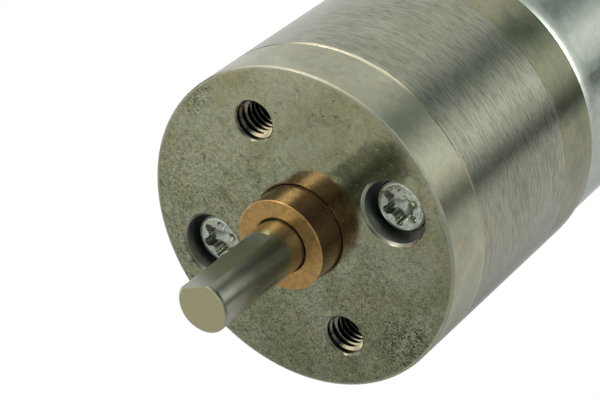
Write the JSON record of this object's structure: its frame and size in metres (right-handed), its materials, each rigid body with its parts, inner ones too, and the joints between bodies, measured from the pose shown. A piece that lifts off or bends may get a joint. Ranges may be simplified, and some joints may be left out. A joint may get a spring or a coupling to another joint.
{
  "type": "gearmotor",
  "caption": "Round spur gearmotor: a brushed DC motor behind a steel gearbox with a D output shaft, a bronze pilot bush and tapped mounting holes in its face.",
  "frame": {"origin": "centre of the mounting face, on the output shaft's axis", "axes": "-Y out of the face along the output shaft, +Y towards the motor, +Z through one tapped mounting hole, +X through one assembly screw"},
  "size_m": [0.025, 0.0686, 0.025],
  "materials": {
    "face_plate": "matt ground steel, lightly stained",
    "ring": "turned steel with fine circumferential lines",
    "rear_plate": "turned steel",
    "shaft": "ground steel",
    "bronze": "sintered bronze, oiled",
    "screw": "bright nickel plating",
    "steel_pin": "ground pin steel",
    "gear_steel": "sintered steel",
    "gear_brass": "machined brass",
    "motor_can": "bright zinc plated deep-drawn steel",
    "magnet": "sintered ferrite",
    "lamination": "stacked electrical steel",
    "insulator": "moulded insulator",
    "winding": "enamelled copper wire",
    "commutator": "turned copper",
    "carbon": "pressed carbon",
    "end_bell": "moulded nylon",
    "washer": "thrust washer plastic",
    "terminal": "brass strip"
  },
  "bodies": {
    "root": {"front_plate": "face_plate", "output_bush": "bronze", "gearbox_ring": "ring", "rear_plate": "rear_plate", "upper_gear_pin": "steel_pin", "lower_gear_pin": "steel_pin", "upper_pin_spacer": "gear_brass", "lower_pin_spacer": "gear_brass", "assembly_screws": "screw", "motor_screws": "screw", "motor_can": "motor_can", "front_bearing": "bronze", "rear_bearing": "bronze", "right_magnet": "magnet", "left_magnet": "magnet", "magnet_clips": "steel_pin", "end_bell": "end_bell", "right_terminal": "terminal", "left_terminal": "terminal", "right_brush": "carbon", "left_brush": "carbon", "right_brush_arm": "terminal", "left_brush_arm": "terminal"},
    "output": {"output_shaft": "shaft", "output_gear": "gear_steel", "output_washer": "washer"},
    "third_idler": {"third_idler_wheel": "gear_steel", "third_idler_pinion": "gear_steel"},
    "second_idler": {"second_idler_wheel": "gear_brass", "second_idler_pinion": "gear_steel"},
    "first_idler": {"first_idler_wheel": "gear_brass", "first_idler_pinion": "gear_steel"},
    "rotor": {"motor_pinion": "gear_brass", "rotor_shaft": "steel_pin", "rotor_core": "lamination", "front_core_insulator": "insulator", "rear_core_insulator": "insulator", "rotor_windings": "winding", "commutator_hub": "insulator", "commutator_segments": "commutator", "varistor_ring": "magnet", "front_rotor_spacer": "washer", "rear_rotor_spacer": "washer"}
  },
  "joints": [
    {"name": "rotor_spin", "type": "hinge", "parent": "root", "child": "rotor", "pos_m": [0, 0, 0], "axis": [0, 1, 0], "continuous": true},
    {"name": "first_idler_spin", "type": "hinge", "parent": "root", "child": "first_idler", "pos_m": [0.00424, 0, 0.00424], "axis": [0, 1, 0], "continuous": true},
    {"name": "second_idler_spin", "type": "hinge", "parent": "root", "child": "second_idler", "pos_m": [0, 0, 0], "axis": [0, 1, 0], "continuous": true},
    {"name": "third_idler_spin", "type": "hinge", "parent": "root", "child": "third_idler", "pos_m": [-0.00424, 0, -0.00424], "axis": [0, 1, 0], "continuous": true},
    {"name": "output_spin", "type": "hinge", "parent": "root", "child": "output", "pos_m": [0, 0, 0], "axis": [0, 1, 0], "continuous": true}
  ],
  "couplings": [
    {"joint": "first_idler_spin", "follows": "rotor_spin", "ratio": -0.42857},
    {"joint": "second_idler_spin", "follows": "rotor_spin", "ratio": 0.16256},
    {"joint": "third_idler_spin", "follows": "rotor_spin", "ratio": -0.069669},
    {"joint": "output_spin", "follows": "rotor_spin", "ratio": 0.029858}
  ]
}
